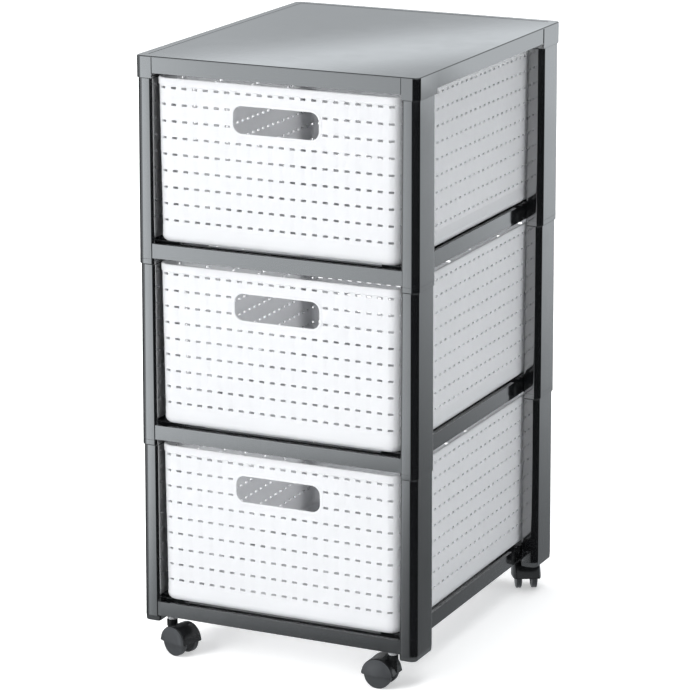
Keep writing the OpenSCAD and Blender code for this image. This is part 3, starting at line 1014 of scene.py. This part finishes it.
# a pale dome far behind everything, seen only directly
dome_me = bpy.data.meshes.new("backdrop")
bm = bmesh.new()
bmesh.ops.create_uvsphere(bm, u_segments=48, v_segments=24, radius=12.0)
bmesh.ops.delete(bm, geom=[f for f in bm.faces if f.calc_center_median().z < -2.0], context="FACES")
bm.to_mesh(dome_me)
bm.free()
dm, dt, db, dvec = material("pale_backdrop")
shade = dt.mix(dt.noise(dvec, 0.05, 2.0), (0.97, 0.97, 0.97), (1.0, 1.0, 1.0))
dt.link(shade, db.inputs["Base Color"])
dt.link(shade, db.inputs["Emission Color"])
db.inputs["Emission Strength"].default_value = 1.0
db.inputs["Roughness"].default_value = 0.9
dome_me.materials.append(dm)
dome = bpy.data.objects.new("backdrop", dome_me)
bpy.context.scene.collection.objects.link(dome)
dome.visible_glossy = dome.visible_diffuse = dome.visible_transmission = dome.visible_shadow = False

world = bpy.data.worlds.new("studio")
bpy.context.scene.world = world
world.use_nodes = True
w = Tree(world.node_tree)
wo = w.add("ShaderNodeOutputWorld")
bg = w.add("ShaderNodeBackground")
w.link(bg.outputs[0], wo.inputs[0])
wt = w.add("ShaderNodeTexCoord")
sep = w.add("ShaderNodeSeparateXYZ")
w.link(wt.outputs["Generated"], sep.inputs[0])
X, Y, Z = sep.outputs
phi = w.math("MULTIPLY", w.math("ARCTAN2", X, w.math("MULTIPLY", Y, -1.0)), 180.0 / math.pi)


def mul(*v):
    out = v[0]
    for x in v[1:]:
        out = w.math("MULTIPLY", out, x)
    return out


# below the horizon: a light card on the left in front, and a weaker one at the right behind
near_phi = w.math("MINIMUM", w.math("MAXIMUM", phi, -32.0), -20.0)
tilted = w.math("SUBTRACT", w.math("ADD", Z, 0.3125), w.math("MULTIPLY", w.math("ADD", near_phi, 26.4), 0.0030))


def plus(*v):
    out = v[0]
    for x in v[1:]:
        out = w.math("ADD", out, x)
    return out


across_left = plus(w.ramp(phi, -18.8, -22.8, 0.0, 0.74, smooth=False), w.ramp(phi, -22.8, -27.5, 0.0, 0.30, smooth=False),
                   w.ramp(phi, -27.5, -29.0, 0.0, 0.27, smooth=False))
down_left = plus(w.ramp(tilted, -0.045, -0.008, 0.13, 0.38, smooth=False), w.ramp(tilted, -0.010, 0.034, 0.0, 0.62))
left = mul(across_left, w.ramp(phi, -95.0, -66.0), w.ramp(phi, -42.0, -31.0, 0.30, 1.0), down_left)
gain = w.ramp(phi, 156.3, 157.8, 1.0, 1.72)
right = mul(w.ramp(phi, 146.0, 155.5), w.ramp(phi, 180.0, 166.0, 0.35, 1.0),
            w.math("MINIMUM", mul(gain, plus(w.ramp(Z, -0.325, -0.190, 0.175, 0.65), w.ramp(Z, -0.190, -0.170, 0.0, 0.55))),
                   1.22))
level = w.math("MAXIMUM", w.ramp(Z, -0.158, -0.090, 0.0, 0.42), w.ramp(Z, -0.375, -0.41, 0.0, 0.20))
level = w.math("MAXIMUM", level, w.ramp(phi, -105.0, -130.0, 0.0, 0.45))
low = w.math("ADD", w.math("MAXIMUM", w.math("ADD", left, right), level), 0.010)
# above: a pale wall behind with a soft band across it, and little else
behind = mul(w.ramp(phi, -108.0, -135.0), w.ramp(Z, 0.52, 0.30, 0.0, 1.0))
across = w.math("SUBTRACT", w.math("SUBTRACT", Z, 0.1745), w.math("MULTIPLY", w.math("ADD", phi, 155.0), 0.0019))
band_ = w.ramp(w.math("ABSOLUTE", across), 0.0072, 0.0008)
wall = mul(behind, w.math("ADD", w.math("MULTIPLY", band_, 0.62), w.ramp(phi, -152.0, -154.6, 0.82, 0.75)))
fill = mul(w.ramp(phi, -120.0, -80.0), w.ramp(phi, 20.0, -30.0), w.ramp(Z, 0.9, 0.4, 0.1, 0.45))
aside = mul(w.ramp(phi, 12.0, 30.0), w.ramp(phi, 140.0, 122.0), 0.42)
far = mul(w.ramp(phi, 140.0, 160.0), w.ramp(Z, 0.60, 0.40, 0.0, 0.40))
up = w.math("MAXIMUM", plus(wall, fill, aside, far, 0.05), w.ramp(Z, 0.93, 0.97, 0.0, 0.42))
side = w.ramp(Z, -0.01, 0.01)
total = w.math("ADD", w.math("MULTIPLY", up, side), w.math("MULTIPLY", low, w.math("SUBTRACT", 1.0, side)))
bg.inputs["Color"].default_value = (0.945, 0.997, 1.035, 1.0)
w.link(total, bg.inputs["Strength"])


def area(name, loc, aim, size, power, spread=math.pi):
    d = bpy.data.lights.new(name, "AREA")
    d.shape = "RECTANGLE"
    d.size, d.size_y = size
    d.energy = power
    d.spread = spread
    o = bpy.data.objects.new(name, d)
    o.location = loc
    o.rotation_euler = (Vector(aim) - Vector(loc)).to_track_quat("-Z", "Y").to_euler()
    bpy.context.scene.collection.objects.link(o)
    o.visible_camera = False
    o.visible_glossy = False
    return o


area("key", (-1.4, -2.6, 1.9), (0, 0, 0.35), (1.6, 1.6), 65.0)
sun_data = bpy.data.lights.new("sky", "SUN")
sun_data.energy, sun_data.angle = 2.5, math.radians(70)
sun = bpy.data.objects.new("sky", sun_data)
sun.rotation_euler = (math.radians(4), math.radians(-8), 0.0)
bpy.context.scene.collection.objects.link(sun)
sun.visible_glossy = False

scene = bpy.context.scene
scene.view_settings.view_transform = "Standard"
scene.view_settings.look = "None"
